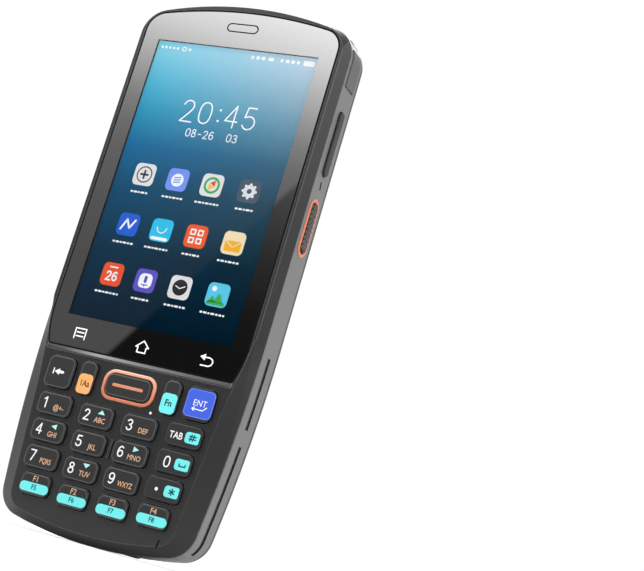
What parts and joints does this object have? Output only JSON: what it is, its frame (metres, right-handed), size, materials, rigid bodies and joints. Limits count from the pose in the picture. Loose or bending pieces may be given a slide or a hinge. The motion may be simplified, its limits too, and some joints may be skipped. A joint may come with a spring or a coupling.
{
  "type": "portable barcode data terminal",
  "caption": "Handheld barcode data terminal with a touch screen above a keypad, side scan buttons, a rear scanner hood and a latched battery cover.",
  "frame": {"origin": "centre of the bounding box's bottom, below the keypad end", "axes": "+Z from the keypad end to the earpiece end, the screen faces -Y, and +X is the terminal's right side seen from the screen"},
  "size_m": [0.0696, 0.0318, 0.1585],
  "materials": {
    "shell": "fine matt texture",
    "frame": "fine matt texture",
    "rear": "fine matt texture",
    "keycap": "satin",
    "enter_key": "satin",
    "orange": "satin",
    "glass": "polished",
    "screen": "printed and backed",
    "mesh": "woven",
    "silicone": "matt",
    "board": "solder mask",
    "bar": "satin",
    "label": "printed",
    "contact": "plated",
    "metal": "satin",
    "flash": "diffusing",
    "battery": "wrapped"
  },
  "bodies": {
    "terminal": {"front_shell": "shell", "touch_glass": "glass", "earpiece_mesh": "mesh", "display_module": "screen", "scan_key_ring": "orange", "keypad_mat": "silicone", "keypad_board": "board", "mid_frame": "frame", "side_scan_ring_right": "orange", "side_scan_ring_left": "orange", "upper_rear_shell": "rear", "lower_rear_shell": "rear", "scanner_hood": "rear", "scanner_window": "glass", "hood_label": "label", "scan_engine": "metal", "contact_block": "shell", "contact_pins": "contact", "camera_bezel": "metal", "camera_glass": "glass", "camera_lens": "glass", "flash_lens": "flash", "speaker_unit": "metal", "latch_housing": "shell", "strap_bar": "bar", "main_board": "board", "battery_pack": "battery", "battery_contacts": "contact", "shell_screws": "metal", "dock_connector": "metal"},
    "key_backspace_body": {"key_backspace": "keycap"},
    "key_case_body": {"key_case": "keycap"},
    "key_scan_body": {"key_scan": "keycap"},
    "key_fn_body": {"key_fn": "keycap"},
    "key_enter_body": {"key_enter": "enter_key"},
    "key_1_body": {"key_1": "keycap"},
    "key_2_body": {"key_2": "keycap"},
    "key_3_body": {"key_3": "keycap"},
    "key_tab_body": {"key_tab": "keycap"},
    "key_4_body": {"key_4": "keycap"},
    "key_5_body": {"key_5": "keycap"},
    "key_6_body": {"key_6": "keycap"},
    "key_0_body": {"key_0": "keycap"},
    "key_7_body": {"key_7": "keycap"},
    "key_8_body": {"key_8": "keycap"},
    "key_9_body": {"key_9": "keycap"},
    "key_dot_body": {"key_dot": "keycap"},
    "key_f1_body": {"key_f1": "keycap"},
    "key_f2_body": {"key_f2": "keycap"},
    "key_f3_body": {"key_f3": "keycap"},
    "key_f4_body": {"key_f4": "keycap"},
    "side_scan_right_body": {"side_scan_button_right": "keycap"},
    "side_scan_left_body": {"side_scan_button_left": "keycap"},
    "rocker_body": {"volume_rocker": "keycap"},
    "side_key_body": {"right_side_key": "keycap"},
    "flap_right_body": {"port_flap_right": "silicone"},
    "flap_left_body": {"port_flap_left": "silicone"},
    "latch_body": {"latch_slider": "bar"},
    "cover_body": {"battery_cover": "rear", "cover_plate": "bar"}
  },
  "joints": [
    {"name": "key_backspace_press", "type": "slide", "parent": "terminal", "child": "key_backspace_body", "axis": [0, 1, 0], "range_m": [0, 0.0004], "stiffness_N_per_m": 200},
    {"name": "key_case_press", "type": "slide", "parent": "terminal", "child": "key_case_body", "axis": [0, 1, 0], "range_m": [0, 0.0004], "stiffness_N_per_m": 200},
    {"name": "key_scan_press", "type": "slide", "parent": "terminal", "child": "key_scan_body", "axis": [0, 1, 0], "range_m": [0, 0.0004], "stiffness_N_per_m": 200},
    {"name": "key_fn_press", "type": "slide", "parent": "terminal", "child": "key_fn_body", "axis": [0, 1, 0], "range_m": [0, 0.0004], "stiffness_N_per_m": 200},
    {"name": "key_enter_press", "type": "slide", "parent": "terminal", "child": "key_enter_body", "axis": [0, 1, 0], "range_m": [0, 0.0004], "stiffness_N_per_m": 200},
    {"name": "key_1_press", "type": "slide", "parent": "terminal", "child": "key_1_body", "axis": [0, 1, 0], "range_m": [0, 0.0004], "stiffness_N_per_m": 200},
    {"name": "key_2_press", "type": "slide", "parent": "terminal", "child": "key_2_body", "axis": [0, 1, 0], "range_m": [0, 0.0004], "stiffness_N_per_m": 200},
    {"name": "key_3_press", "type": "slide", "parent": "terminal", "child": "key_3_body", "axis": [0, 1, 0], "range_m": [0, 0.0004], "stiffness_N_per_m": 200},
    {"name": "key_tab_press", "type": "slide", "parent": "terminal", "child": "key_tab_body", "axis": [0, 1, 0], "range_m": [0, 0.0004], "stiffness_N_per_m": 200},
    {"name": "key_4_press", "type": "slide", "parent": "terminal", "child": "key_4_body", "axis": [0, 1, 0], "range_m": [0, 0.0004], "stiffness_N_per_m": 200},
    {"name": "key_5_press", "type": "slide", "parent": "terminal", "child": "key_5_body", "axis": [0, 1, 0], "range_m": [0, 0.0004], "stiffness_N_per_m": 200},
    {"name": "key_6_press", "type": "slide", "parent": "terminal", "child": "key_6_body", "axis": [0, 1, 0], "range_m": [0, 0.0004], "stiffness_N_per_m": 200},
    {"name": "key_0_press", "type": "slide", "parent": "terminal", "child": "key_0_body", "axis": [0, 1, 0], "range_m": [0, 0.0004], "stiffness_N_per_m": 200},
    {"name": "key_7_press", "type": "slide", "parent": "terminal", "child": "key_7_body", "axis": [0, 1, 0], "range_m": [0, 0.0004], "stiffness_N_per_m": 200},
    {"name": "key_8_press", "type": "slide", "parent": "terminal", "child": "key_8_body", "axis": [0, 1, 0], "range_m": [0, 0.0004], "stiffness_N_per_m": 200},
    {"name": "key_9_press", "type": "slide", "parent": "terminal", "child": "key_9_body", "axis": [0, 1, 0], "range_m": [0, 0.0004], "stiffness_N_per_m": 200},
    {"name": "key_dot_press", "type": "slide", "parent": "terminal", "child": "key_dot_body", "axis": [0, 1, 0], "range_m": [0, 0.0004], "stiffness_N_per_m": 200},
    {"name": "key_f1_press", "type": "slide", "parent": "terminal", "child": "key_f1_body", "axis": [0, 1, 0], "range_m": [0, 0.0004], "stiffness_N_per_m": 200},
    {"name": "key_f2_press", "type": "slide", "parent": "terminal", "child": "key_f2_body", "axis": [0, 1, 0], "range_m": [0, 0.0004], "stiffness_N_per_m": 200},
    {"name": "key_f3_press", "type": "slide", "parent": "terminal", "child": "key_f3_body", "axis": [0, 1, 0], "range_m": [0, 0.0004], "stiffness_N_per_m": 200},
    {"name": "key_f4_press", "type": "slide", "parent": "terminal", "child": "key_f4_body", "axis": [0, 1, 0], "range_m": [0, 0.0004], "stiffness_N_per_m": 200},
    {"name": "side_scan_right_press", "type": "slide", "parent": "terminal", "child": "side_scan_right_body", "axis": [-1, 0, 0], "range_m": [0, 0.0005], "stiffness_N_per_m": 200},
    {"name": "side_scan_left_press", "type": "slide", "parent": "terminal", "child": "side_scan_left_body", "axis": [1, 0, 0], "range_m": [0, 0.0005], "stiffness_N_per_m": 200},
    {"name": "side_key_press", "type": "slide", "parent": "terminal", "child": "side_key_body", "axis": [-1, 0, 0], "range_m": [0, 0.0005], "stiffness_N_per_m": 200},
    {"name": "volume_rock", "type": "hinge", "parent": "terminal", "child": "rocker_body", "pos_m": [-0.033, -0.00725, 0.1227], "axis": [0, 1, 0], "range_deg": [-1.5, 1.5], "stiffness_Nm_per_rad": 0.02},
    {"name": "port_flap_right_open", "type": "hinge", "parent": "terminal", "child": "flap_right_body", "pos_m": [0.0344, -0.00725, 0.1392], "axis": [0, 1, 0], "range_deg": [0, 100]},
    {"name": "port_flap_left_open", "type": "hinge", "parent": "terminal", "child": "flap_left_body", "pos_m": [-0.0344, -0.00725, 0.1392], "axis": [0, -1, 0], "range_deg": [0, 100]},
    {"name": "latch_slide", "type": "slide", "parent": "terminal", "child": "latch_body", "axis": [1, 0, 0], "range_m": [0, 0.0043]},
    {"name": "battery_cover_lift", "type": "hinge", "parent": "terminal", "child": "cover_body", "pos_m": [0, 0.00175, 0.1128], "axis": [1, 0, 0], "range_deg": [0, 25]}
  ]
}
